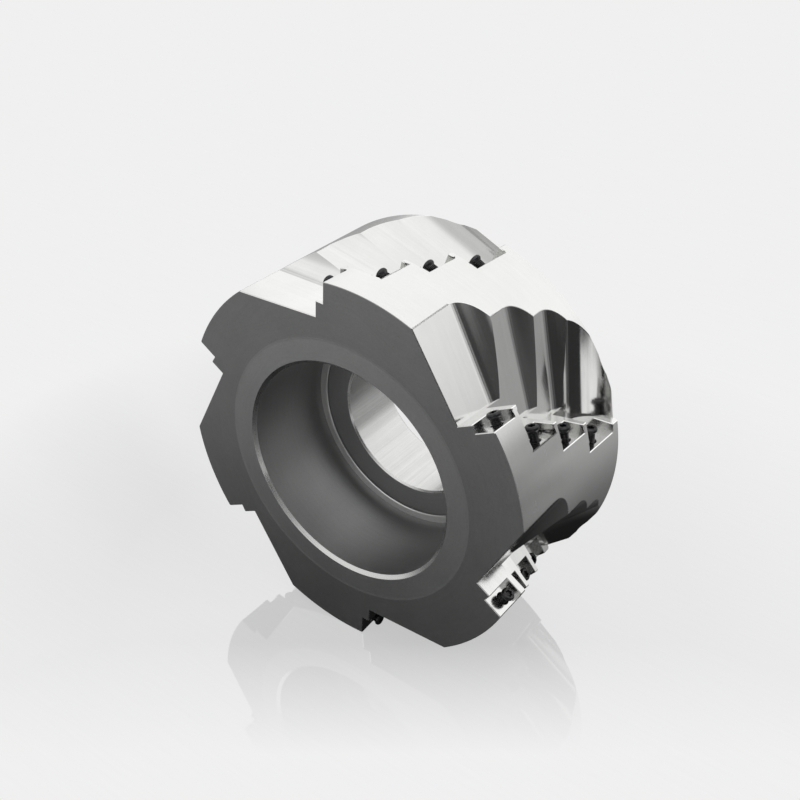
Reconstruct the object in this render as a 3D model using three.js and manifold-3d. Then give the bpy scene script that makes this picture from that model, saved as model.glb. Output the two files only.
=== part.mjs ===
// Indexable face mill, shell type: a bored steel body with six helical flutes of four
// stepped insert pockets, and the black socket screw that stands in every pocket.
// Millimetres. The mill stands on its rim: spindle axis along Y, cutting face towards -Y.
import * as THREE from "three";
import { mergeVertices } from "three/addons/utils/BufferGeometryUtils.js";
import Module from "manifold-3d";

const wasm = await Module();
wasm.setup();

// ---- driving dimensions -------------------------------------------------------------
const CUT_DIAMETER = 125;
const BODY_LENGTH = 56;
const BORE_DIAMETER = 50;
const FLUTES = 6;
const CREST_LEAN = 5.0;            // degrees that the top tooth stands before the vertical
const BLANK_SEGMENTS = 48;
const BACK_EDGE_CHAMFER = 0.6;

// Front recess for the arbor's clamping screw, and the bore behind it.
const RECESS_DIAMETER = 72.4;
const RECESS_DEPTH = 32.6;
const RECESS_EDGE_CHAMFER = 1.1;
const SEAT_RING_INNER_DIAMETER = 67.2;
const LEDGE_DEPTH = 33.6;
const BORE_CHAMFER = 1.4;

// Drive slot in the back face, one half on each side of the bore.
const SLOT_WIDTH = 18.4;
const SLOT_DEPTH = 10;
const SLOT_REACH = 44;
const SLOT_TURN = -30;             // degrees from the first tooth: midway between two teeth

// Insert seats. A row is one seat per flute; rows follow each other from the cutting face.
// lag: degrees behind the crest at the cutting face. front and pocket: where the row
// starts, and how long its pocket is. floorEnd: where the flat gullet floor ends.
// notch: from the seat's outer edge in to that floor. fall: degrees between that floor
// and the seat's normal. lean: degrees that the gullet leans back as it leaves the seat.
// stand: screw head above the seat.
const ROWS = [
  { lag: 0.3, front: 0, pocket: 10.0, floorEnd: 14.2, notch: 11.7, fall: 4.8, lean: 5, stand: 3.5 },
  { lag: 10.8, front: 11.3, pocket: 12.0, floorEnd: 28.4, notch: 12.7, fall: 4.8, lean: 5, stand: 4.6 },
  { lag: 17.2, front: 24.6, pocket: 12.0, floorEnd: 39.5, notch: 12.7, fall: 4.8, lean: 5, stand: 4.6 },
  { lag: 24.2, front: 38.0, pocket: 14.4, floorEnd: 43.9, notch: 12.7, fall: 6.6, lean: 5.5, stand: 4.6 },
];
const SEAT_CENTRE = 5.7;           // from a row's front to its screw
const SEAT_WIDTH = 6.6;            // from the outer edge in to the pocket's side wall
const SEAT_LEAN = 8;               // degrees: the outer edge trails the inner one
const AXIAL_RAKE = 3;              // degrees: the seat's front end leads
const POCKET_STEP = 2.6;           // pocket floor below the tooth face
const POCKET_OPENING = 12;         // how far the pocket's walls are cleared in front of it

// Chip gullet: a flat floor that ends in a round wall towards the back face. The last
// row's wall stops at its own radius and leaves the back face as a low shelf.
const GULLET_RADIUS = 10.6;
const GULLET_LENGTH = 60;
const GULLET_OVERRUN = 8;
const GULLET_HEIGHT = 26;

// Insert screw, M3 with a low cylindrical head.
const SCREW_RADIUS = 1.5;
const SCREW_HEAD_RADIUS = 2.05;
const SCREW_HEAD_HEIGHT = 1.1;
const SCREW_NECK_HEIGHT = 0.6;
const SCREW_LENGTH = 10.6;
const SCREW_SEGMENTS = 12;
const SOCKET_RADIUS = 1.15;
const SOCKET_DEPTH = 0.9;
const HOLE_RADIUS = 1.85;
const HOLE_DEPTH = 9;
const EDGE_BREAK = 0.2;

const CUT_RADIUS = CUT_DIAMETER / 2;
const BORE_RADIUS = BORE_DIAMETER / 2;
const radians = THREE.MathUtils.degToRad;

// ---- materials ----------------------------------------------------------------------
const bodySteel = new THREE.MeshStandardMaterial({ color: 0x9a9a9a, roughness: 0.35, metalness: 1 });
const blackOxide = new THREE.MeshStandardMaterial({ color: 0x1c1c1c, roughness: 0.4, metalness: 0.9 });

// ---- joining and cutting ------------------------------------------------------------
function toSolid(geometry, matrix = new THREE.Matrix4()) {
  const bare = geometry.clone();
  bare.deleteAttribute("normal");
  bare.deleteAttribute("uv");
  bare.applyMatrix4(matrix);
  const merged = mergeVertices(bare, 1e-4);
  return new wasm.Manifold(new wasm.Mesh({
    numProp: 3,
    vertProperties: new Float32Array(merged.attributes.position.array),
    triVerts: new Uint32Array(merged.index.array),
  }));
}

function toGeometry(solid) {
  const mesh = solid.getMesh();
  const geometry = new THREE.BufferGeometry();
  geometry.setAttribute("position", new THREE.BufferAttribute(mesh.vertProperties, 3));
  geometry.setIndex(new THREE.BufferAttribute(mesh.triVerts, 1));
  geometry.computeVertexNormals();
  return geometry;
}

function joinAll(solids) {
  return solids.reduce((whole, next) => whole.add(next));
}

// A box given by its lowest and highest corners.
function boxBetween(low, high) {
  const size = new THREE.Vector3().subVectors(high, low);
  const middle = new THREE.Vector3().addVectors(low, high).multiplyScalar(0.5);
  return new THREE.BoxGeometry(size.x, size.y, size.z).translate(middle.x, middle.y, middle.z);
}

// ---- frames -------------------------------------------------------------------------
// Tool frame: Z runs from the cutting face (0) to the back face; X points at the first
// tooth's crest, and angles grow clockwise seen from the front.
// Seat frame: X outward along the seat, Y into the tooth, Z towards the back face, with
// its origin on the seat's outer edge, level with the screw.
// The gullet frame is the same with the row's larger lean towards the back face.
function toothFrames(flute, row) {
  const turned = new THREE.Group();
  turned.rotation.z = radians((360 / FLUTES) * flute + row.lag);
  const leaning = new THREE.Group();
  leaning.position.set(CUT_RADIUS, 0, row.front + SEAT_CENTRE);
  leaning.rotation.z = radians(SEAT_LEAN);
  const seat = new THREE.Group();
  seat.rotation.x = -radians(AXIAL_RAKE);
  const gullet = new THREE.Group();
  gullet.rotation.x = -radians(row.lean);
  turned.add(leaning);
  leaning.add(seat, gullet);
  turned.updateMatrixWorld(true);
  return { turned, seat, gullet };
}

// ---- cutter body --------------------------------------------------------------------
function turnedBlank() {
  const profile = [
    [RECESS_DIAMETER / 2 + RECESS_EDGE_CHAMFER, 0],
    [CUT_RADIUS, 0],
    [CUT_RADIUS, BODY_LENGTH - BACK_EDGE_CHAMFER],
    [CUT_RADIUS - BACK_EDGE_CHAMFER, BODY_LENGTH],
    [BORE_RADIUS + BORE_CHAMFER, BODY_LENGTH],
    [BORE_RADIUS, BODY_LENGTH - BORE_CHAMFER],
    [BORE_RADIUS, LEDGE_DEPTH + BORE_CHAMFER],
    [BORE_RADIUS + BORE_CHAMFER, LEDGE_DEPTH],
    [SEAT_RING_INNER_DIAMETER / 2, LEDGE_DEPTH],
    [SEAT_RING_INNER_DIAMETER / 2, RECESS_DEPTH],
    [RECESS_DIAMETER / 2, RECESS_DEPTH],
    [RECESS_DIAMETER / 2, RECESS_EDGE_CHAMFER],
    [RECESS_DIAMETER / 2 + RECESS_EDGE_CHAMFER, 0],
  ].map(([radius, depth]) => new THREE.Vector2(radius, depth));
  const halfFacet = Math.PI / BLANK_SEGMENTS;
  const flatsOnRadius = 1 / Math.cos(halfFacet);
  const geometry = new THREE.LatheGeometry(profile, BLANK_SEGMENTS);
  geometry.rotateX(Math.PI / 2);
  geometry.scale(flatsOnRadius, flatsOnRadius, 1);
  geometry.rotateZ(radians(180 + CREST_LEAN) + halfFacet);
  return toSolid(geometry);
}

// The gullet's section: length towards the back face across, height above the floor up.
function gulletSection(start, floorEnd, shelf) {
  const section = new THREE.Shape();
  section.moveTo(start, 0);
  section.lineTo(floorEnd, 0);
  section.absarc(floorEnd, GULLET_RADIUS, GULLET_RADIUS, -Math.PI / 2, 0, false);
  section.lineTo(floorEnd + GULLET_RADIUS + shelf, GULLET_RADIUS);
  section.lineTo(floorEnd + GULLET_RADIUS + shelf, GULLET_HEIGHT);
  section.lineTo(start, GULLET_HEIGHT);
  section.closePath();
  return section;
}

function gulletCut(row, frames) {
  const centre = row.front + SEAT_CENTRE;
  const start = row.front > 0 ? -SEAT_CENTRE : -SEAT_CENTRE - GULLET_OVERRUN;
  const shelf = row === ROWS.at(-1) ? GULLET_OVERRUN : 0;
  const section = gulletSection(start, row.floorEnd - centre, shelf);
  const groove = new THREE.ExtrudeGeometry(section, {
    depth: GULLET_LENGTH + GULLET_OVERRUN,
    curveSegments: 5,
    bevelEnabled: false,
  });
  groove.translate(0, 0, -GULLET_LENGTH);
  const axes = new THREE.Matrix4().makeBasis(
    new THREE.Vector3(0, 0, 1),
    new THREE.Vector3(1, 0, 0),
    new THREE.Vector3(0, 1, 0),
  );
  groove.applyMatrix4(axes);
  groove.rotateZ(-radians(row.fall));
  groove.translate(-row.notch, -POCKET_STEP, 0);
  const reach = GULLET_LENGTH + GULLET_OVERRUN;
  const inFrontOfTooth = boxBetween(
    new THREE.Vector3(-reach, -reach, -reach),
    new THREE.Vector3(reach, -POCKET_STEP, reach),
  );
  const toothSide = toSolid(inFrontOfTooth, frames.seat.matrixWorld);
  return toSolid(groove, frames.gullet.matrixWorld).intersect(toothSide);
}

function pocketCut(row, seatMatrix) {
  const frontGap = row.front > 0 ? SEAT_CENTRE : SEAT_CENTRE + GULLET_OVERRUN;
  const pocket = boxBetween(
    new THREE.Vector3(-SEAT_WIDTH, -POCKET_OPENING, -frontGap),
    new THREE.Vector3(SEAT_WIDTH, 0, row.pocket - SEAT_CENTRE),
  );
  return toSolid(pocket, seatMatrix);
}

function screwHole(seatMatrix) {
  const hole = new THREE.CylinderGeometry(HOLE_RADIUS, HOLE_RADIUS, HOLE_DEPTH + 1, 10);
  hole.translate(-SEAT_WIDTH / 2, HOLE_DEPTH / 2 - 0.5, 0);
  return toSolid(hole, seatMatrix);
}

function fluteCut(flute) {
  const cuts = ROWS.flatMap((row) => {
    const frames = toothFrames(flute, row);
    const seatMatrix = frames.seat.matrixWorld;
    return [gulletCut(row, frames), pocketCut(row, seatMatrix), screwHole(seatMatrix)];
  });
  return joinAll(cuts);
}

function driveSlot() {
  const slot = boxBetween(
    new THREE.Vector3(-SLOT_REACH, -SLOT_WIDTH / 2, BODY_LENGTH - SLOT_DEPTH),
    new THREE.Vector3(SLOT_REACH, SLOT_WIDTH / 2, BODY_LENGTH + SLOT_DEPTH),
  );
  return toSolid(slot, new THREE.Matrix4().makeRotationZ(radians(SLOT_TURN)));
}

function cutterBody() {
  let solid = turnedBlank().subtract(driveSlot());
  for (let flute = 0; flute < FLUTES; flute += 1) {
    solid = solid.subtract(fluteCut(flute));
  }
  const mesh = new THREE.Mesh(toGeometry(solid), bodySteel);
  mesh.name = "cutter_body";
  return mesh;
}

// ---- insert screws ------------------------------------------------------------------
// The head's top is at height 0 and the shank runs up Y, into the tooth.
function screwGeometry() {
  const profile = [
    [0, 0],
    [SCREW_HEAD_RADIUS - EDGE_BREAK, 0],
    [SCREW_HEAD_RADIUS, EDGE_BREAK],
    [SCREW_HEAD_RADIUS, SCREW_HEAD_HEIGHT],
    [SCREW_RADIUS, SCREW_HEAD_HEIGHT + SCREW_NECK_HEIGHT],
    [SCREW_RADIUS, SCREW_LENGTH - 2 * EDGE_BREAK],
    [SCREW_RADIUS - 2 * EDGE_BREAK, SCREW_LENGTH],
    [0, SCREW_LENGTH],
  ].map(([radius, height]) => new THREE.Vector2(radius, height));
  const turned = new THREE.LatheGeometry(profile, SCREW_SEGMENTS);
  const socket = new THREE.CylinderGeometry(SOCKET_RADIUS, SOCKET_RADIUS, 2 * SOCKET_DEPTH, 6);
  return toGeometry(toSolid(turned).subtract(toSolid(socket)));
}

function insertScrews() {
  const geometry = screwGeometry();
  const teeth = [];
  for (let flute = 0; flute < FLUTES; flute += 1) {
    ROWS.forEach((row, index) => {
      const { turned, seat } = toothFrames(flute, row);
      const screw = new THREE.Mesh(geometry, blackOxide);
      screw.name = `flute_${flute + 1}_screw_${index + 1}`;
      screw.position.set(-SEAT_WIDTH / 2, -row.stand, 0);
      seat.add(screw);
      teeth.push(turned);
    });
  }
  return teeth;
}

// ---- assembly: the tool frame stood on its rim ---------------------------------------
const mill = new THREE.Group();
mill.add(cutterBody(), ...insertScrews());
mill.rotation.set(-Math.PI / 2, 0, -radians(90 + CREST_LEAN));
mill.position.set(0, -BODY_LENGTH / 2, CUT_RADIUS);

const group = new THREE.Group();
group.add(mill);

export default group;
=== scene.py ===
"""Face mill on its rim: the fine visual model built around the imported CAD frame."""
from math import atan2, cos, hypot, pi, radians, sin

import bmesh
import bpy
from mathutils import Matrix, Vector


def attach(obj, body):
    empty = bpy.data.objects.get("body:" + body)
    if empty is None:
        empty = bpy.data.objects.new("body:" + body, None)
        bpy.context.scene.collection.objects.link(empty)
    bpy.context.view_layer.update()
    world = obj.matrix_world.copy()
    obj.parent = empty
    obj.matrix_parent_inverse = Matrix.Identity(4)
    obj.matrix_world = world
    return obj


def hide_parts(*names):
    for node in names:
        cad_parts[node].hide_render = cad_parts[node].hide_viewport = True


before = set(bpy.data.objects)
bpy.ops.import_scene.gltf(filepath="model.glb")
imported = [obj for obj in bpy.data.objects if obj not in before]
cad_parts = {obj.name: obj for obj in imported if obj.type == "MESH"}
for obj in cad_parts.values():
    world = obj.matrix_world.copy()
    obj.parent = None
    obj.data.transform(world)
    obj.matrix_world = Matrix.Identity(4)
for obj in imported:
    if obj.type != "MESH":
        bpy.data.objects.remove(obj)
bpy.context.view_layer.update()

# ---- sizes in millimetres, the same as the CAD's --------------------------------------
MM = 0.001
CUT_R = 62.5
LENGTH = 56.0
BORE_R = 25.0
FLUTES = 6
CREST_LEAN = 5.0
RECESS_R = 36.2
RECESS_DEPTH = 32.6
RING_IN_R = 33.6
LEDGE_DEPTH = 33.6
BORE_CHAMFER = 1.4
BORE_FRONT_CHAMFER = 0.6
RECESS_CHAMFER = 1.1
BACK_CHAMFER = 0.6
FRONT_CHAMFER = 0.15
PAD_R = 44.7
PAD_SINK = 0.06
PAD_SLOPE = 0.8
RING_CHAMFER = 0.25
SLOT_W = 18.4
SLOT_DEPTH = 10.0
SLOT_REACH = 44.0
SLOT_TURN = -30.0
TURN_STEPS = 288

ROWS = [
    dict(lag=0.3, front=0.0, pocket=10.0, floor_end=14.2, notch=11.7,
         fall=4.8, lean=5.0, stand=3.5),
    dict(lag=10.8, front=11.3, pocket=12.0, floor_end=28.4, notch=12.7,
         fall=4.8, lean=5.0, stand=4.6),
    dict(lag=17.2, front=24.6, pocket=12.0, floor_end=39.5, notch=12.7,
         fall=4.8, lean=5.0, stand=4.6),
    dict(lag=24.2, front=38.0, pocket=14.4, floor_end=43.9, notch=12.7,
         fall=6.6, lean=5.5, stand=4.6),
]
SEAT_CENTRE = 5.7
SEAT_W = 6.6
SEAT_LEAN = 8.0
AXIAL_RAKE = 3.0
POCKET_STEP = 2.6
POCKET_OPENING = 12.0
GULLET_R = 10.6
GULLET_LENGTH = 60.0
GULLET_OVERRUN = 8.0
GULLET_HEIGHT = 26.0
ARC_STEPS = 28
ON_GULLET = 0.05
HOLE_R = 1.85
HOLE_DEPTH = 9.0
HOLE_CHAMFER = 0.25
HOLE_OVERRUN = 0.5
HOLE_STEPS = 40
MOUTH_CHAMFER = 0.2
MOUTH_INSET = 0.11
MOUTH_OVERRUN = 0.3
SCREW_LENGTH = 10.6
HEAD_R = 2.05
HEAD_H = 1.1
NECK_H = 0.6
SHANK_R = 1.5
THREAD_PITCH = 0.5
THREAD_DEPTH = 0.28
SOCKET_R = 1.0
SOCKET_LOBE = 0.15
SOCKET_LOBES = 6
SOCKET_DEPTH = 0.9
SCREW_STEPS = 36
SCREW_AROUND = 12.6
SCREW_CREASE = 32.0
RINGS_PER_PITCH = 8
THREAD_FADE = 0.4
THREAD_SLOPE = 4.6
# How far the screws are turned about themselves, in degrees from row to row and flute to flute.
ROW_TURN, FLUTE_TURN = 71, 47

# Broken edges: size of the chamfer, and how the solids that cut it are laid along an edge.
EDGE_CHAMFER = 0.26
EDGE_LEAST_ANGLE = 12.0
CHAIN_LEAST = 1.0
LINK_LEAST = 0.12
CHAIN_OVERRUN = 0.6
UPPER_OVERRUN, LOWER_OVERRUN = 0.06, 0.03
CUT_BEHIND, CUT_ABOVE, CUT_TOP = 0.45, 0.4, 0.35
SAME_WAY = 0.9
LEAST_DROP = 0.35
LEAST_MITER, LEAST_SIZE, LEAST_SLANT = 0.3, 0.3, 0.2
SHORTEST_EDGE = 0.002
FLAT_ANGLE = 0.05

# Facing: a cosine from which a direction counts as along an axis, and what facing the wrong
# way weighs against a millimetre of distance.
FACING, FACING_SPINDLE = 0.7, 0.5
FACING_WEIGHT = 20

# Stage: the levels that the steel mirrors. FLAG_LEVELS: on the floor, by distance in metres.
# LOW_SKY and HIGH_SKY: by height, for low directions and overhead. SIDE_LEVELS: how much of
# the flag and the low sky is left, by how far back (+1) or forward (-1) a direction points.
# Other pairs are soft steps: 0 at the first value, 1 at the second.
FLAG_LEVELS = ((0.0, 0.005), (0.06, 0.016), (0.085, 0.055), (0.12, 0.11), (0.19, 0.24), (0.4, 0.38),
               (1.0, 0.45))
LOW_SKY = ((0.0, 0.38), (0.06, 0.5), (0.17, 0.98), (0.40, 1.3), (1.0, 1.35))
HIGH_SKY = ((0.0, 0.60), (0.28, 0.72), (0.5, 0.96), (0.62, 1.17), (1.0, 1.22))
SIDE_LEVELS = ((-1.0, 1.0), (-0.95, 0.9), (-0.88, 0.25), (-0.78, 0.06), (0.30, 0.04), (0.38, 0.07),
               (0.42, 0.35), (0.46, 0.12), (0.50, 0.15), (0.54, 0.75), (0.58, 0.5), (0.60, 0.5),
               (0.64, 1.0), (1.0, 1.0))
FRONT_LEFT_LEVEL = 0.75
FRONT_LEFT_X = (0.0, -0.12)
FRONT_LEFT_Y = (0.42, 0.30)
HORIZON_LEVEL = 0.09
HORIZON_HEIGHT = (0.22, 0.10)
SKY_TILT = 0.30
OVERHEAD = (0.42, 0.68)
EVEN_SKY = 0.95

DARK_SIDE_LEVEL = 0.085
UNDIMMED_FAR = (0.30, 0.16)
UNDIMMED_RIGHT = (0.0, -0.15)
BESIDE_LIFT = 0.65
BESIDE_AHEAD = (0.35, 0.55)
BESIDE_FAR = (0.41, 0.33)
CARD_LEVEL = 1.05
CARD_PATCHES = (5.0, 9.0, 1)
CARD_AHEAD = ((-0.24, -0.30), (-0.95, -0.85))
CARD_RIGHT = (0.2, 0.4)
CARD_FAR = ((0.22, 0.27), (0.66, 0.60))

FLOOR_SIZE = 8.0
FLOOR_SWEEP = (40, 900, 1)
FLOOR_GRAIN = 0.006
FLOOR_TONE = 0.77
FLOOR_GLOW = 0.95
FLOOR_GLOW_SHARE = 0.86
FLOOR_MIRROR = 0.17
FLOOR_ROUGHNESS = 0.03
FLOOR_PLAIN = 0.87
PLAIN_FORWARD = (0.030, 0.075)
PLAIN_FAR = (0.10, 0.20)
FLAG_DROP = 0.0005

# Camera: degrees round the mill and above the floor, metres away, and the point it looks at.
AZIMUTH, ELEVATION, DISTANCE = radians(36.30), radians(32.61), 0.330
AIM = Vector((0.00525, -0.00687, 0.07991))
LENS, SENSOR = 49.11, 36.0

# Surface classes of the body: one material slot each.
(LAND, FACE, PAD, CHAMFER, WALL, RING, LEDGE, BORE, BACK, GULLET, ARC, TOOTH, POCKET, HOLE,
 SLOT, EDGE) = range(16)
TURNED = {LAND, FACE, PAD, CHAMFER, WALL, RING, LEDGE, BORE, BACK}

TOOL_TO_ROW = (Matrix.Translation((0, -LENGTH / 2, CUT_R)) @ Matrix.Rotation(radians(-90), 4, "X")
               @ Matrix.Rotation(radians(-90 - CREST_LEAN), 4, "Z"))
TO_METRES = Matrix.Scale(MM, 4)


def tooth_frames(flute, row):
    leaning = (Matrix.Rotation(radians(360 / FLUTES * flute + row["lag"]), 4, "Z")
               @ Matrix.Translation((CUT_R, 0, row["front"] + SEAT_CENTRE))
               @ Matrix.Rotation(radians(SEAT_LEAN), 4, "Z"))
    return (leaning @ Matrix.Rotation(radians(-AXIAL_RAKE), 4, "X"),
            leaning @ Matrix.Rotation(radians(-row["lean"]), 4, "X"))


# ---- solids --------------------------------------------------------------------------
def new_object(name, bm):
    mesh = bpy.data.meshes.new(name)
    bm.to_mesh(mesh)
    bm.free()
    piece = bpy.data.objects.new(name, mesh)
    bpy.context.scene.collection.objects.link(piece)
    return piece


def body_solid(name, bm):
    """A new object with the body's material slots, still empty."""
    piece = new_object(name, bm)
    for _ in range(EDGE + 1):
        piece.data.materials.append(None)
    return piece


def boolean(target, cutter, operation="DIFFERENCE"):
    """target becomes target (operation) cutter; the cutter is used up."""
    modifier = target.modifiers.new("cut", "BOOLEAN")
    modifier.operation = operation
    modifier.solver = "MANIFOLD"
    modifier.object = cutter
    graph = bpy.context.evaluated_depsgraph_get()
    result = bpy.data.meshes.new_from_object(target.evaluated_get(graph))
    target.modifiers.clear()
    old = target.data
    target.data = result
    bpy.data.meshes.remove(old)
    bpy.data.objects.remove(cutter)


def lathe(profile, steps):
    """profile: (radius, depth, class of the strip that starts here), a closed ring."""
    bm = bmesh.new()
    rings = []
    for k in range(steps):
        a = 2 * pi * k / steps
        rings.append([bm.verts.new((r * cos(a), r * sin(a), z)) for r, z, _ in profile])
    n = len(profile)
    for k in range(steps):
        here, there = rings[k], rings[(k + 1) % steps]
        for i in range(n):
            j = (i + 1) % n
            f = bm.faces.new((here[i], here[j], there[j], there[i]))
            f.material_index = profile[i][2]
    bmesh.ops.recalc_face_normals(bm, faces=bm.faces)
    return bm


def prism(outline, classes, low, high, matrix):
    """Extrudes an (X, Z) outline along Y from low to high."""
    bm = bmesh.new()
    a = [bm.verts.new(matrix @ Vector((x, low, z))) for x, z in outline]
    b = [bm.verts.new(matrix @ Vector((x, high, z))) for x, z in outline]
    n = len(outline)
    for i in range(n):
        j = (i + 1) % n
        f = bm.faces.new((a[i], a[j], b[j], b[i]))
        f.material_index = classes[i]
    bm.faces.new(a).material_index = classes[-1]
    bm.faces.new(list(reversed(b))).material_index = classes[-1]
    bmesh.ops.recalc_face_normals(bm, faces=bm.faces)
    return bm


def box(low, high, matrix, kind):
    outline = [(low[0], low[2]), (high[0], low[2]), (high[0], high[2]), (low[0], high[2])]
    return prism(outline, [kind] * 4, low[1], high[1], matrix)


def blank():
    profile = [
        (RECESS_R + RECESS_CHAMFER, PAD_SINK, PAD),
        (PAD_R - PAD_SLOPE, PAD_SINK, PAD),
        (PAD_R, 0, FACE),
        (CUT_R - FRONT_CHAMFER, 0, CHAMFER),
        (CUT_R, FRONT_CHAMFER, LAND),
        (CUT_R, LENGTH - BACK_CHAMFER, CHAMFER),
        (CUT_R - BACK_CHAMFER, LENGTH, BACK),
        (BORE_R + BORE_CHAMFER, LENGTH, CHAMFER),
        (BORE_R, LENGTH - BORE_CHAMFER, BORE),
        (BORE_R, LEDGE_DEPTH + BORE_FRONT_CHAMFER, CHAMFER),
        (BORE_R + BORE_FRONT_CHAMFER, LEDGE_DEPTH, LEDGE),
        (RING_IN_R, LEDGE_DEPTH, LEDGE),
        (RING_IN_R, RECESS_DEPTH + RING_CHAMFER, RING),
        (RING_IN_R + RING_CHAMFER, RECESS_DEPTH, RING),
        (RECESS_R, RECESS_DEPTH, WALL),
        (RECESS_R, RECESS_CHAMFER, CHAMFER),
    ]
    return body_solid("cutter_body_fine", lathe(profile, TURN_STEPS))


def section_frame(row, gullet):
    """X out from the gullet's floor, Y along the groove, Z towards the back face."""
    return (gullet @ Matrix.Translation((-row["notch"], -POCKET_STEP, 0))
            @ Matrix.Rotation(radians(-row["fall"]), 4, "Z"))


def gullet_cutter(row, seat, gullet):
    centre = row["front"] + SEAT_CENTRE
    start = -SEAT_CENTRE - (0 if row["front"] > 0 else GULLET_OVERRUN)
    end = row["floor_end"] - centre
    shelf = GULLET_OVERRUN if row is ROWS[-1] else 0
    outline, kinds = [(0, start), (0, end)], [GULLET]
    for k in range(1, ARC_STEPS + 1):
        a = pi / 2 * k / ARC_STEPS
        outline.append((GULLET_R * (1 - cos(a)), end + GULLET_R * sin(a)))
    kinds += [ARC] * ARC_STEPS
    if shelf:
        outline.append((GULLET_R, end + GULLET_R + shelf))
        kinds.append(GULLET)
    top = end + GULLET_R + shelf
    outline += [(GULLET_HEIGHT, top), (GULLET_HEIGHT, start)]
    kinds += [GULLET] * (len(outline) - len(kinds))
    groove = body_solid("groove", prism(outline, kinds, -GULLET_LENGTH, GULLET_OVERRUN,
                                        section_frame(row, gullet)))
    reach = GULLET_LENGTH + 2 * GULLET_OVERRUN
    half = body_solid("half", box((-reach, -reach, -reach), (reach, -POCKET_STEP, reach), seat,
                                  GULLET))
    boolean(groove, half, "INTERSECT")
    return groove


def pocket_cutter(row, seat):
    gap = SEAT_CENTRE + (0 if row["front"] > 0 else GULLET_OVERRUN)
    return body_solid("pocket", box((-SEAT_W, -POCKET_OPENING, -gap),
                                    (SEAT_W, 0, row["pocket"] - SEAT_CENTRE), seat, POCKET))


def frustum(low, high, near, far, grow, matrix, kind):
    """A box's X-Z outline at Y=near, grown by grow at Y=far."""
    bm = bmesh.new()
    ends = []
    for y, g in ((near, 0), (far, grow)):
        corners = [(low[0] - g, low[1] - g), (high[0] + g, low[1] - g),
                   (high[0] + g, high[1] + g), (low[0] - g, high[1] + g)]
        ends.append([bm.verts.new(matrix @ Vector((x, y, z))) for x, z in corners])
    a, b = ends
    bm.faces.new(a)
    bm.faces.new(list(reversed(b)))
    for i in range(4):
        j = (i + 1) % 4
        bm.faces.new((a[i], a[j], b[j], b[i]))
    for f in bm.faces:
        f.material_index = kind
    bmesh.ops.recalc_face_normals(bm, faces=bm.faces)
    return bm


def mouth_cutter(row, seat):
    """The small chamfer where a pocket opens in the tooth face. It starts inside the pocket."""
    gap = SEAT_CENTRE + (0 if row["front"] > 0 else GULLET_OVERRUN)
    low = (-SEAT_W + MOUTH_INSET, -gap + MOUTH_INSET)
    high = (SEAT_W - MOUTH_INSET, row["pocket"] - SEAT_CENTRE - MOUTH_INSET)
    near, far = -POCKET_STEP + MOUTH_CHAMFER + MOUTH_INSET, -POCKET_STEP - MOUTH_OVERRUN
    grow = MOUTH_CHAMFER + MOUTH_INSET + MOUTH_OVERRUN
    return body_solid("mouth", frustum(low, high, near, far, grow, seat, EDGE))


def hole_cutter(seat):
    """The hole of an insert screw, with a small chamfer at the seat."""
    bm = bmesh.new()
    place = seat @ Matrix.Translation((-SEAT_W / 2, 0, 0))
    stations = [(HOLE_R + HOLE_CHAMFER + HOLE_OVERRUN, -HOLE_OVERRUN), (HOLE_R + HOLE_CHAMFER, 0.0),
                (HOLE_R, HOLE_CHAMFER), (HOLE_R, HOLE_DEPTH)]
    turns = [2 * pi * k / HOLE_STEPS for k in range(HOLE_STEPS)]
    rings = [[bm.verts.new(place @ Vector((r * cos(a), y, r * sin(a)))) for a in turns]
             for r, y in stations]
    for lower, upper in zip(rings, rings[1:]):
        for k in range(HOLE_STEPS):
            j = (k + 1) % HOLE_STEPS
            f = bm.faces.new((lower[k], lower[j], upper[j], upper[k]))
            f.material_index = HOLE
    bm.faces.new(rings[0]).material_index = HOLE
    bm.faces.new(list(reversed(rings[-1]))).material_index = HOLE
    bmesh.ops.recalc_face_normals(bm, faces=bm.faces)
    return body_solid("hole", bm)


def flute_cutter():
    whole = None
    for row in ROWS:
        seat, gullet = tooth_frames(0, row)
        for cut in (gullet_cutter(row, seat, gullet), pocket_cutter(row, seat),
                    mouth_cutter(row, seat), hole_cutter(seat)):
            if whole is None:
                whole = cut
            else:
                boolean(whole, cut, "UNION")
    return whole


def cutter_body():
    piece = blank()
    slot = body_solid("slot", box((-SLOT_REACH, -SLOT_W / 2, LENGTH - SLOT_DEPTH),
                                  (SLOT_REACH, SLOT_W / 2, LENGTH + SLOT_DEPTH),
                                  Matrix.Rotation(radians(SLOT_TURN), 4, "Z"), SLOT))
    boolean(piece, slot)
    flute = flute_cutter()
    for k in range(FLUTES):
        copy = bpy.data.objects.new("flute", flute.data.copy())
        bpy.context.scene.collection.objects.link(copy)
        copy.data.transform(Matrix.Rotation(radians(360 / FLUTES * k), 4, "Z"))
        boolean(piece, copy)
    bpy.data.objects.remove(flute)
    return piece


def tidy_mesh(mesh, weld):
    """Joins faces that lie in one plane; weld first merges vertices closer than it."""
    bm = bmesh.new()
    bm.from_mesh(mesh)
    if weld:
        bmesh.ops.remove_doubles(bm, verts=bm.verts, dist=weld)
    bmesh.ops.dissolve_limit(bm, angle_limit=radians(FLAT_ANGLE), verts=bm.verts, edges=bm.edges,
                             delimit={"MATERIAL"})
    bm.to_mesh(mesh)
    bm.free()


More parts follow.
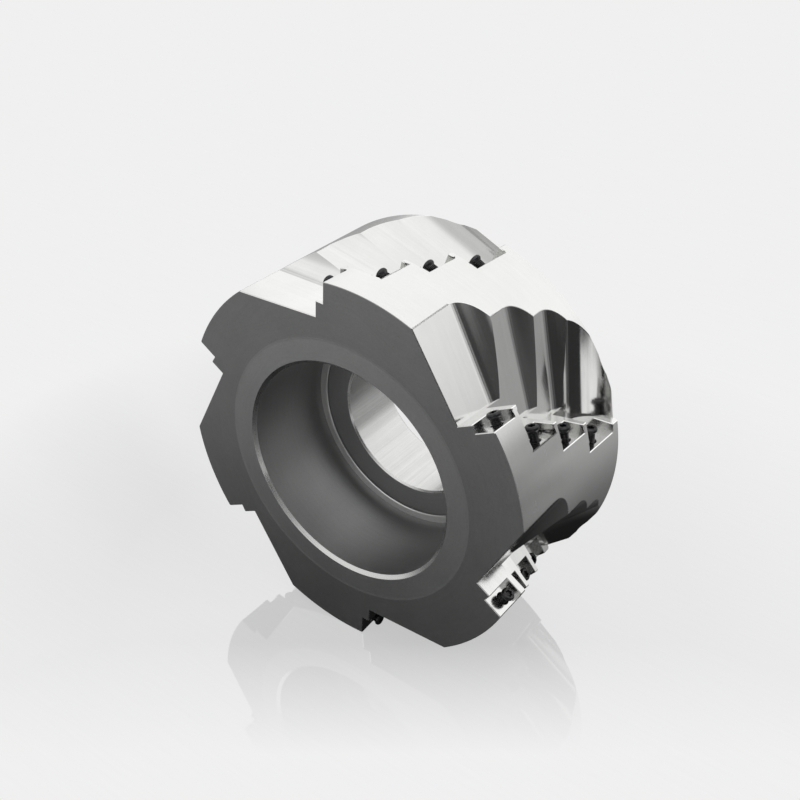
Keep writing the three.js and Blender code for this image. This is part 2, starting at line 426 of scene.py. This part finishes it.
# ---- broken edges --------------------------------------------------------------------
def edge_chains(bm, kind, cuts):
    """Polylines of the edges between faces of one class and the cut faces beside them.
    Each link holds its edge's two points and the two faces."""
    links = {}
    for e in bm.edges:
        if len(e.link_faces) != 2:
            continue
        a, b = e.link_faces
        if a.material_index != kind:
            a, b = b, a
        if (a.material_index == kind and b.material_index in cuts
                and a.normal.angle(b.normal) > radians(EDGE_LEAST_ANGLE)):
            for v in e.verts:
                links.setdefault(v, []).append((e, a, b))
    ends = [v for v, touching in links.items() if len(touching) == 1]
    used, chains = set(), []
    for start in ends + list(links):
        first = next((t for t in links[start] if t[0] not in used), None)
        if first is None or (start not in ends and len(links[start]) != 2):
            continue
        chain, v = [], start
        while True:
            step = next((t for t in links[v] if t[0] not in used), None)
            if step is None:
                break
            used.add(step[0])
            w = step[0].other_vert(v)
            chain.append((v.co.copy(), w.co.copy(), step[1], step[2]))
            v = w
            if len(links[v]) > 2:
                break
        chains.append((chain, v is start))
    return chains


def surface_normal(kind, point):
    if kind == LAND:
        return Vector((point.x, point.y, 0)).normalized()
    return Vector((0, 0, -1))


def chain_links(kind, chain):
    """Each link as start, end, direction, direction into the surface, and the cut's normal.
    Very short links join the one before."""
    links = []
    for p, q, a, b in chain:
        n = surface_normal(kind, (p + q) / 2)
        t = (q - p).normalized()
        m = n.cross(t).normalized()
        if m.dot(a.calc_center_median() - (p + q) / 2) < 0:
            m = -m
        short = (q - p).length < LINK_LEAST
        if short and links and links[-1][2].dot(t) > SAME_WAY:
            old = links[-1]
            links[-1] = (old[0], q, old[2], old[3], old[4])
        else:
            links.append((p, q, t, m, b.normal.copy()))
    return links


def chamfer_ring(kind, before, after, point):
    """The chamfer solid's section at a point between two links."""
    n = surface_normal(kind, point)
    miter = (before[3] + after[3]) / max(LEAST_MITER, 1 + before[3].dot(after[3]))
    b1, b2 = before[4], after[4]
    down = None
    if b1.dot(b2) < SAME_WAY:
        down = b1.cross(b2).normalized()
        if down.dot(n) > 0:
            down = -down
        if -down.dot(n) < LEAST_DROP:
            down = None
    b = (b1 + b2).normalized()
    if down is None:
        down = -(n - b * n.dot(b)).normalized()
    size = EDGE_CHAMFER * min(1.0, max(LEAST_SIZE, 1 - n.dot(b)))
    upper = point + miter * size
    lower = point + down * (size / max(LEAST_SLANT, -down.dot(n)))
    slope = (upper - lower).normalized()
    upper, lower = upper + slope * UPPER_OVERRUN, lower - slope * LOWER_OVERRUN
    away = -miter * CUT_BEHIND
    return [upper, lower, lower + away, lower + away + n * (size + CUT_ABOVE), upper + n * CUT_TOP]


def chamfer_solid(kind, chain, closed):
    """A thin solid along the chain that takes its corner off at about 45 degrees."""
    links = chain_links(kind, chain)
    count = len(links)
    if not closed:
        p, q, t, m, b = links[0]
        links[0] = (p - t * CHAIN_OVERRUN, q, t, m, b)
        p, q, t, m, b = links[-1]
        links[-1] = (p, q + t * CHAIN_OVERRUN, t, m, b)
    rings = []
    for i in range(count if closed else count + 1):
        before = links[i - 1] if (closed or i > 0) else links[0]
        after = links[i % count] if (closed or i < count) else links[-1]
        point = after[0] if (closed or i < count) else before[1]
        rings.append(chamfer_ring(kind, before, after, point))
    bm = bmesh.new()
    rings = [[bm.verts.new(co) for co in ring] for ring in rings]
    total, corners = len(rings), len(rings[0])
    for i in range(total if closed else total - 1):
        one, two = rings[i], rings[(i + 1) % total]
        for k in range(corners):
            j = (k + 1) % corners
            bm.faces.new((one[k], one[j], two[j], two[k]))
    if not closed:
        bm.faces.new(rings[0])
        bm.faces.new(list(reversed(rings[-1])))
    for f in bm.faces:
        f.material_index = EDGE
    bmesh.ops.triangulate(bm, faces=bm.faces)
    bmesh.ops.recalc_face_normals(bm, faces=bm.faces)
    return body_solid("chamfer", bm)


def break_edges(piece):
    """Chamfers every edge between the outside or the face and a milled cut."""
    cuts = {GULLET, ARC, POCKET, EDGE, SLOT}
    for kind in (LAND, FACE):
        bm = bmesh.new()
        bm.from_mesh(piece.data)
        solids = [chamfer_solid(kind, chain, closed)
                  for chain, closed in edge_chains(bm, kind, cuts)
                  if sum((q - p).length for p, q, _, _ in chain) > CHAIN_LEAST]
        bm.free()
        for cut in solids:
            boolean(piece, cut)


# ---- surface coordinates and normals ---------------------------------------------------
def teeth():
    """Every tooth's frames: inverse seat, inverse gullet section, section end, and axes."""
    found = []
    across = Vector((0, 1, 0))
    for flute in range(FLUTES):
        for row in ROWS:
            seat, gullet = tooth_frames(flute, row)
            section = section_frame(row, gullet)
            end = row["floor_end"] - row["front"] - SEAT_CENTRE
            arc = (section @ Vector((GULLET_R, 0, end)), section.to_3x3() @ across)
            hole = (seat @ Vector((-SEAT_W / 2, 0, 0)), seat.to_3x3() @ across)
            found.append(dict(seat=seat.inverted(), section=section.inverted(), end=end,
                              arc=arc, hole=hole))
    return found


def off_axis(point, axis):
    d = point - axis[0]
    return d - axis[1] * d.dot(axis[1])


def turned_corner(v, c, n):
    """Normal and coordinates on a surface turned about the spindle axis."""
    r, rc = hypot(v.x, v.y), hypot(c.x, c.y)
    radial = (n.x * c.x + n.y * c.y) / rc
    normal = Vector((radial * v.x / r, radial * v.y / r, n.z)).normalized()
    turn = atan2(c.y, c.x) + atan2(c.x * v.y - c.y * v.x, c.x * v.x + c.y * v.y)
    along = v.z if abs(n.z) < FACING_SPINDLE else r
    return normal, (turn * CUT_R, along)


def round_corner(v, c, n, axis):
    """Normal on a surface that is round about an axis, and the way out from that axis."""
    along, out = axis[1] * n.dot(axis[1]), off_axis(v, axis).normalized()
    side = 1 if n.dot(off_axis(c, axis)) > 0 else -1
    return (along + out * side * (n - along).length).normalized(), out


def nearest(frames, c, n, part):
    """The tooth whose plane (part: section across X, seat across Y) a face lies in."""
    def distance(f):
        place, facing = f[part] @ c, f[part].to_3x3() @ n
        if part == "section":
            return abs(place.x) + FACING_WEIGHT * (1 - abs(facing.x))
        return abs(place.y + POCKET_STEP) + FACING_WEIGHT * (1 - abs(facing.y))
    return min(frames, key=distance)


def tooth_of(frames, poly):
    """The tooth a face belongs to. A gullet face off its tooth's floor becomes a TOOTH face."""
    kind, n, c = poly.material_index, poly.normal.copy(), poly.center.copy()
    if kind == ARC:
        return min(frames, key=lambda f: abs(off_axis(c, f["arc"]).length - GULLET_R))
    if kind != GULLET:
        return min(frames, key=lambda f: off_axis(c, f["hole"]).length)
    near = nearest(frames, c, n, "section")
    if abs((near["section"] @ c).x) > ON_GULLET:
        poly.material_index = TOOTH
        near = nearest(frames, c, n, "seat")
    return near


def corner(kind, v, c, n, near):
    """True normal and surface coordinates of one corner of a face."""
    if kind in TURNED:
        return turned_corner(v, c, n)
    if kind == ARC:
        normal, _ = round_corner(v, c, n, near["arc"])
        local = near["section"] @ v
        angle = atan2(local.z - near["end"], GULLET_R - local.x)
        return normal, (local.y, near["end"] + GULLET_R * angle)
    if kind == HOLE:
        normal, out = round_corner(v, c, n, near["hole"])
        return normal, (out.x, v.z)
    if kind == GULLET:
        local = near["section"] @ v
        return n, (local.y, local.z)
    if kind in (TOOTH, POCKET):
        local, facing = near["seat"] @ v, near["seat"].to_3x3() @ n
        if abs(facing.y) > FACING:
            return n, (local.x, local.z)
        if abs(facing.x) > FACING:
            return n, (local.z, local.y)
        return n, (local.x, local.y)
    return n, (v.x, v.y)


def finish_surface(mesh):
    """Gives every corner its true normal, and millimetres along and across the tool marks."""
    frames = teeth()
    uv = mesh.uv_layers.new(name="marks")
    normals = [None] * len(mesh.loops)
    for poly in mesh.polygons:
        n, c = poly.normal.copy(), poly.center.copy()
        if poly.material_index == CHAMFER and c.z < FRONT_CHAMFER and hypot(c.x, c.y) > PAD_R:
            poly.material_index = FACE
        near = tooth_of(frames, poly)
        for li in poly.loop_indices:
            v = mesh.vertices[mesh.loops[li].vertex_index].co
            normals[li], uv.data[li].uv = corner(poly.material_index, v, c, n, near)
    mesh.normals_split_custom_set(normals)


body = cutter_body()
tidy_mesh(body.data, SHORTEST_EDGE)
break_edges(body)
tidy_mesh(body.data, 0)
for poly in body.data.polygons:
    poly.use_smooth = True
finish_surface(body.data)
body.data.transform(TO_METRES @ TOOL_TO_ROW)
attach(body, "body")
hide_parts("cutter_body")


# ---- insert screws ---------------------------------------------------------------------
def screw_rings():
    """Rings of (radius at an angle, height): from the socket's floor over the head and
    down the threaded shank. Height grows from the head's top into the body."""
    def round_ring(r, y):
        return [(r, y)] * SCREW_STEPS

    def lobed(r, y):
        turns = [2 * pi * k / SCREW_STEPS for k in range(SCREW_STEPS)]
        return [(r + SOCKET_LOBE * cos(SOCKET_LOBES * a), y) for a in turns]

    neck = HEAD_H + NECK_H
    rings = [round_ring(0.35, SOCKET_DEPTH), lobed(SOCKET_R - 0.03, SOCKET_DEPTH - 0.12),
             lobed(SOCKET_R, 0.1), lobed(SOCKET_R + 0.1, 0.0), round_ring(1.62, 0.0),
             round_ring(1.74, 0.05), round_ring(HEAD_R - 0.06, 0.34), round_ring(HEAD_R, 0.44),
             round_ring(HEAD_R, HEAD_H - 0.1), round_ring(HEAD_R - 0.06, HEAD_H),
             round_ring(SHANK_R + 0.08, neck - 0.1), round_ring(SHANK_R - 0.04, neck + 0.05)]
    start, stop = neck + 0.1, SCREW_LENGTH - 0.5
    count = int((stop - start) / THREAD_PITCH * RINGS_PER_PITCH)
    for i in range(count + 1):
        y = start + (stop - start) * i / count
        fade = min(1.0, (y - start) / THREAD_FADE, (stop - y) / THREAD_FADE)
        ring = []
        for k in range(SCREW_STEPS):
            phase = (y / THREAD_PITCH - k / SCREW_STEPS) % 1.0
            groove = min(1.0, max(0.0, THREAD_SLOPE * abs(phase - 0.5) - 0.5))
            ring.append((SHANK_R - THREAD_DEPTH * groove * fade - 0.04 * (1 - fade), y))
        rings.append(ring)
    rings += [round_ring(SHANK_R - 0.1, SCREW_LENGTH - 0.35),
              round_ring(SHANK_R - 0.4, SCREW_LENGTH)]
    return rings


def screw(name, matrix, rings):
    """One closed screw from its rings, with coordinates around and along it."""
    bm = bmesh.new()
    layer = bm.loops.layers.uv.new("marks")
    turns = [2 * pi * k / SCREW_STEPS for k in range(SCREW_STEPS)]
    made = [[bm.verts.new((r * cos(a), y, r * sin(a))) for a, (r, y) in zip(turns, ring)]
            for ring in rings]
    across = SCREW_AROUND / SCREW_STEPS
    travelled = 0.0
    for one, two, ring, after in zip(made, made[1:], rings, rings[1:]):
        step = hypot(after[0][0] - ring[0][0], after[0][1] - ring[0][1])
        for k in range(SCREW_STEPS):
            j = (k + 1) % SCREW_STEPS
            f = bm.faces.new((one[k], one[j], two[j], two[k]))
            f.smooth = True
            for loop, (turn, along) in zip(f.loops, ((k, 0), (k + 1, 0), (k + 1, step), (k, step))):
                loop[layer].uv = (turn * across, travelled + along)
        travelled += step
    bm.faces.new(made[0])
    bm.faces.new(made[-1])
    bmesh.ops.recalc_face_normals(bm, faces=bm.faces)
    bm.transform(matrix)
    piece = new_object(name, bm)
    piece.data.set_sharp_from_angle(angle=radians(SCREW_CREASE))
    return piece


screws = []
SCREW_RINGS = screw_rings()
for flute in range(FLUTES):
    for k, row in enumerate(ROWS):
        seat, _ = tooth_frames(flute, row)
        turn = radians(flute * FLUTE_TURN + k * ROW_TURN)
        place = (TO_METRES @ TOOL_TO_ROW @ seat
                 @ Matrix.Translation((-SEAT_W / 2, -row["stand"], 0))
                 @ Matrix.Rotation(turn, 4, "Y"))
        piece = screw(f"insert_screw_{flute + 1}_{k + 1}", place, SCREW_RINGS)
        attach(piece, f"screw_{flute + 1}_{k + 1}")
        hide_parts(f"flute_{flute + 1}_screw_{k + 1}")
        screws.append(piece)


# ---- materials ------------------------------------------------------------------------
class Nodes:
    """A short way to add and link the shader nodes of a material or a world."""

    def __init__(self, owner):
        owner.use_nodes = True
        self.owner = owner
        self.tree = owner.node_tree

    def add(self, kind, inputs=(), **settings):
        node = self.tree.nodes.new("ShaderNode" + kind)
        for key, value in settings.items():
            setattr(node, key, value)
        for key, value in dict(inputs).items():
            if isinstance(value, bpy.types.NodeSocket):
                self.tree.links.new(value, node.inputs[key])
            else:
                node.inputs[key].default_value = value
        return node

    def noise(self, vector, scale, detail=3.0, rough=0.55):
        return self.add("TexNoise", {"Vector": vector, "Scale": scale, "Detail": detail,
                                     "Roughness": rough}).outputs["Fac"]

    def stretched(self, vector, stretch):
        return self.add("Mapping", {"Vector": vector, "Scale": stretch}).outputs[0]

    def math(self, operation, a, b, c=0.0):
        return self.add("Math", {0: a, 1: b, 2: c}, operation=operation).outputs[0]

    def span(self, value, low, high, start=0.3, stop=0.7):
        """Maps start..stop of a noise onto low..high."""
        return self.add("MapRange", {"Value": value, "From Min": start, "From Max": stop,
                                     "To Min": low, "To Max": high}).outputs[0]

    def step(self, value, start, stop):
        """0 up to start, 1 from stop on."""
        inputs = {"Value": value, "From Min": start, "From Max": stop}
        return self.add("MapRange", inputs).outputs[0]

    def bump(self, height, distance, strength=1.0, normal=None):
        inputs = {"Height": height, "Distance": distance, "Strength": strength}
        if normal is not None:
            inputs["Normal"] = normal
        return self.add("Bump", inputs).outputs[0]

    def grey(self, shade, blue=1.0):
        """A grey of the given shade, with its blue share scaled."""
        if blue != 1.0:
            blue = self.math("MULTIPLY", shade, blue)
        else:
            blue = shade
        return self.add("CombineColor", {"Red": shade, "Green": shade, "Blue": blue}).outputs[0]

    def finish(self, colour, roughness, normal, metallic):
        link, surface = self.tree.links.new, self.tree.nodes["Principled BSDF"].inputs
        link(colour, surface["Base Color"])
        link(roughness, surface["Roughness"])
        link(normal, surface["Normal"])
        surface["Metallic"].default_value = metallic
        return self.owner


def machined(name, tone, roughness, across, marks=0.0015, spread=0.06, blotch=0.05, lines=3.0,
             metallic=1.0):
    """Cut or ground steel. across: which of the two surface coordinates crosses the tool
    marks. lines: tool marks per millimetre. spread and blotch: how much they vary the tone."""
    n = Nodes(bpy.data.materials.new(name))
    uv = n.add("UVMap", uv_map="marks").outputs[0]
    fine = (lines, 0.02, 1) if across == "u" else (0.02, lines, 1)
    broad = (lines * 0.22, 0.008, 1) if across == "u" else (0.008, lines * 0.22, 1)
    scratches = n.noise(n.stretched(uv, fine), 1.0, 4.0, 0.65)
    bands = n.noise(n.stretched(uv, broad), 1.0, 3.0, 0.6)
    place = n.add("TexCoord").outputs["Object"]
    cloud = n.noise(place, 45.0, 5.0, 0.6)
    grain = n.noise(place, 2600.0, 2.0, 0.5)
    value = n.math("ADD", n.span(scratches, -spread, spread), n.span(bands, -spread, spread))
    value = n.math("ADD", value, n.span(cloud, -blotch, blotch))
    shade = n.math("MULTIPLY_ADD", value, tone, tone)
    rough = n.math("ADD", n.span(scratches, roughness * 0.8, roughness * 1.2),
                   n.span(cloud, -roughness * 0.15, roughness * 0.2))
    rough = n.math("ADD", rough, n.span(grain, -0.015, 0.02))
    normal = n.bump(n.math("ADD", scratches, n.math("MULTIPLY", bands, 1.5)), marks * MM)
    return n.finish(n.grey(shade, 0.985), rough, normal, metallic)


def blasted(name, tone, roughness, metallic=0.65, grain_size=0.00012):
    """The dull face and recess: fine bead-blasted grain over faint turning marks."""
    n = Nodes(bpy.data.materials.new(name))
    uv = n.add("UVMap", uv_map="marks").outputs[0]
    place = n.add("TexCoord").outputs["Object"]
    grain = n.noise(place, 0.35 / grain_size, 3.0, 0.6)
    cloud = n.noise(place, 60.0, 6.0, 0.65)
    rings = n.noise(n.stretched(uv, (0.01, 1.1, 1)), 1.0, 3.0, 0.6)
    value = n.math("ADD", n.span(grain, -0.08, 0.08), n.span(cloud, -0.05, 0.05))
    value = n.math("ADD", value, n.span(rings, -0.03, 0.03))
    shade = n.math("MULTIPLY_ADD", value, tone, tone)
    rough = n.span(grain, roughness - 0.06, roughness + 0.06)
    normal = n.bump(grain, grain_size * 0.05, 0.6)
    normal = n.bump(rings, 0.000002, 0.5, normal)
    return n.finish(n.grey(shade), rough, normal, metallic)


def blackened(name):
    """Black oxide: near black, with worn patches and fine turning marks."""
    n = Nodes(bpy.data.materials.new(name))
    uv = n.add("UVMap", uv_map="marks").outputs[0]
    place = n.add("TexCoord").outputs["Object"]
    turning = n.noise(n.stretched(uv, (0.15, 9.0, 1)), 1.0, 3.0, 0.6)
    worn = n.noise(place, 900.0, 4.0, 0.65)
    shade = n.math("ADD", n.span(worn, 0.025, 0.07, 0.35, 0.75), n.span(turning, -0.008, 0.012))
    rough = n.math("ADD", n.span(worn, 0.38, 0.24), n.span(turning, -0.03, 0.03))
    return n.finish(n.grey(shade, 1.04), rough, n.bump(turning, 0.000002, 0.6), 0.85)


looks = {
    LAND: machined("ground_land", 0.71, 0.21, "v", marks=0.0001, spread=0.012, blotch=0.03,
                   lines=4.0),
    FACE: blasted("blasted_face", 0.315, 0.44, 0.92),
    # Painted light: the pad is the face's blasted steel in a lighter tone, standing in for the
    # light the pad ring catches.
    PAD: blasted("blasted_pad_painted_light", 0.40, 0.44, 0.92),
    CHAMFER: machined("turned_chamfer", 0.78, 0.27, "v", marks=0.001, spread=0.04, lines=6.0),
    WALL: blasted("blasted_recess", 0.27, 0.40, 0.88),
    RING: machined("turned_ring", 0.74, 0.34, "v", marks=0.0015, spread=0.08, lines=5.0,
                   metallic=0.8),
    LEDGE: blasted("blasted_ledge", 0.24, 0.5),
    BORE: machined("honed_bore", 0.68, 0.19, "u", marks=0.0006, spread=0.065, lines=0.8,
                   metallic=0.8),
    BACK: machined("turned_back", 0.55, 0.32, "v", marks=0.003, spread=0.08, lines=5.0),
    GULLET: machined("milled_gullet", 0.69, 0.11, "v", marks=0.0007, spread=0.022, lines=1.6),
    TOOTH: machined("milled_tooth", 0.70, 0.14, "v", marks=0.0005, spread=0.03, lines=1.6),
    POCKET: machined("milled_pocket", 0.72, 0.16, "u", marks=0.0006, spread=0.05, lines=2.5),
    HOLE: machined("tapped_hole", 0.45, 0.35, "v", marks=0.002, spread=0.1, lines=2.0),
    SLOT: machined("milled_slot", 0.58, 0.28, "u", marks=0.002, spread=0.06, lines=2.0),
    EDGE: machined("broken_edge", 0.80, 0.22, "u", marks=0.0005, spread=0.04, lines=2.0),
}
looks[ARC] = looks[GULLET]
for kind, look in looks.items():
    body.data.materials[kind] = look
oxide = blackened("black_oxide_fine")
for piece in screws:
    piece.data.materials.append(oxide)


# ---- stage ---------------------------------------------------------------------------
def ramp(n, value, stops, low=0.0, high=1.0):
    """A level by value, straight from stop to stop. Stops are (value, level), up to level 2."""
    unit = n.add("MapRange", {"Value": value, "From Min": low, "From Max": high}).outputs[0]
    node = n.add("ValToRGB", {"Fac": unit})
    elements = node.color_ramp.elements
    while len(elements) > 1:
        elements.remove(elements[-1])
    for k, (position, level) in enumerate(stops):
        at = (position - low) / (high - low)
        element = elements[0] if k == 0 else elements.new(at)
        element.position = at
        element.color = (level / 2, level / 2, level / 2, 1)
    return n.math("MULTIPLY", node.outputs["Color"], 2.0)


def stage_nodes(name):
    """The nodes of a stage material, without the usual surface."""
    n = Nodes(bpy.data.materials.new(name))
    n.tree.nodes.remove(n.tree.nodes["Principled BSDF"])
    return n


def stage_piece(name, bm, n, shader):
    """A piece of the stage, with the material of n, whose surface is the given shader."""
    output = next(x for x in n.tree.nodes if x.type == "OUTPUT_MATERIAL")
    n.tree.links.new(shader, output.inputs["Surface"])
    piece = new_object(name, bm)
    piece.data.materials.append(n.owner)
    return piece


def floor():
    """Pale, with a faint mirror near the mill that fades towards the front."""
    n = stage_nodes("pale_floor")
    place = n.add("TexCoord").outputs["Object"]
    sweep = n.noise(n.stretched(place, FLOOR_SWEEP), 1.0, 3.0)

    def tone(level):
        return n.grey(n.span(sweep, level - FLOOR_GRAIN, level + FLOOR_GRAIN))

    matte = n.add("BsdfDiffuse", {"Color": tone(FLOOR_TONE)})
    glow = n.add("Emission", {"Color": tone(FLOOR_TONE), "Strength": FLOOR_GLOW})
    mirror = n.add("BsdfGlossy", {"Color": (1, 1, 1, 1), "Roughness": FLOOR_ROUGHNESS})
    lit = n.add("MixShader", {"Fac": FLOOR_GLOW_SHARE, 1: matte.outputs[0], 2: glow.outputs[0]})
    near = n.add("MixShader", {"Fac": FLOOR_MIRROR, 1: lit.outputs[0], 2: mirror.outputs[0]})
    plain = n.add("Emission", {"Color": tone(FLOOR_PLAIN), "Strength": 1.0})
    split = n.add("SeparateXYZ", {0: place})
    forward = n.math("ADD", n.math("MULTIPLY", split.outputs["X"], sin(AZIMUTH)),
                     n.math("MULTIPLY", split.outputs["Y"], -cos(AZIMUTH)))
    far = n.add("VectorMath", {0: place}, operation="LENGTH").outputs["Value"]
    fade = n.math("MAXIMUM", n.step(forward, *PLAIN_FORWARD), n.step(far, *PLAIN_FAR))
    top = n.add("MixShader", {"Fac": fade, 1: near.outputs[0], 2: plain.outputs[0]})
    bm = bmesh.new()
    bmesh.ops.create_grid(bm, x_segments=2, y_segments=2, size=FLOOR_SIZE)
    piece = stage_piece("floor", bm, n, top.outputs[0])
    piece.visible_glossy = False


def flag():
    """What polished steel mirrors below the horizon: dark beside the mill, paler far from it,
    with a light card on the right."""
    n = stage_nodes("flag")
    place = n.add("TexCoord").outputs["Object"]
    far = n.add("VectorMath", {0: place}, operation="LENGTH").outputs["Value"]
    unit = n.add("VectorMath", {0: place}, operation="NORMALIZE").outputs[0]
    heading = n.add("SeparateXYZ", {0: unit})
    ahead, right = heading.outputs["Y"], heading.outputs["X"]
    undimmed = n.math("MAXIMUM", n.step(far, *UNDIMMED_FAR), n.step(right, *UNDIMMED_RIGHT))
    side = n.math("MAXIMUM", ramp(n, ahead, SIDE_LEVELS, -1.0, 1.0), undimmed)
    side = n.math("MAXIMUM", side, DARK_SIDE_LEVEL)
    lift = n.math("MULTIPLY", n.step(ahead, *BESIDE_AHEAD), n.step(far, *BESIDE_FAR))
    side = n.math("MULTIPLY", side, n.math("MULTIPLY_ADD", lift, BESIDE_LIFT, 1.0))
    level = n.math("MULTIPLY", ramp(n, far, FLAG_LEVELS), side)
    patches = n.noise(n.stretched(place, CARD_PATCHES), 1.0, 3.0)
    card = n.math("MULTIPLY", n.span(patches, 0.55, 1.0, 0.35, 0.55), n.step(right, *CARD_RIGHT))
    for value, pairs in ((ahead, CARD_AHEAD), (far, CARD_FAR)):
        for pair in pairs:
            card = n.math("MULTIPLY", card, n.step(value, *pair))
    level = n.math("MULTIPLY_ADD", card, CARD_LEVEL, level)
    glow = n.add("Emission", {"Color": level, "Strength": 1.0})
    bm = bmesh.new()
    bmesh.ops.create_circle(bm, cap_ends=True, segments=64, radius=FLOOR_SIZE)
    piece = stage_piece("flag", bm, n, glow.outputs[0])
    piece.location.z = -FLAG_DROP
    piece.visible_camera = piece.visible_diffuse = piece.visible_shadow = False
    piece.visible_transmission = False


def studio():
    """Even and soft for the floor; for reflections white above and dark in front."""
    world = bpy.data.worlds.new("studio")
    n = Nodes(world)
    place = n.add("TexCoord").outputs["Generated"]
    split = n.add("SeparateXYZ", {0: place})
    right, ahead, height = (split.outputs[axis] for axis in "XYZ")
    low = n.math("MULTIPLY", ramp(n, height, LOW_SKY), ramp(n, ahead, SIDE_LEVELS, -1.0, 1.0))
    left = n.math("MULTIPLY", n.step(right, *FRONT_LEFT_X), n.step(ahead, *FRONT_LEFT_Y))
    low = n.math("MAXIMUM", low, n.math("MULTIPLY", left, FRONT_LEFT_LEVEL))
    horizon = n.step(height, *HORIZON_HEIGHT)
    low = n.math("MAXIMUM", low, n.math("MULTIPLY", horizon, HORIZON_LEVEL))
    high = ramp(n, n.math("MULTIPLY_ADD", ahead, SKY_TILT, height), HIGH_SKY)
    mirrored = n.add("Mix", {0: n.step(height, *OVERHEAD), 2: low, 3: high}).outputs[0]
    rays = n.add("LightPath")
    mix = n.add("Mix", {0: rays.outputs["Is Glossy Ray"], 2: EVEN_SKY, 3: mirrored}).outputs[0]
    n.tree.links.new(mix, n.tree.nodes["Background"].inputs["Color"])
    return world


def studio_camera():
    back = Vector((sin(AZIMUTH) * cos(ELEVATION), -cos(AZIMUTH) * cos(ELEVATION), sin(ELEVATION)))
    cam = bpy.data.cameras.new("camera")
    cam.lens = LENS
    cam.sensor_width = SENSOR
    camera = bpy.data.objects.new("camera", cam)
    bpy.context.scene.collection.objects.link(camera)
    camera.location = AIM + back * DISTANCE
    camera.rotation_euler = (-back).to_track_quat("-Z", "Y").to_euler()
    return camera


scene = bpy.context.scene
scene.view_settings.view_transform = "Standard"
floor()
flag()
scene.world = studio()
scene.camera = studio_camera()
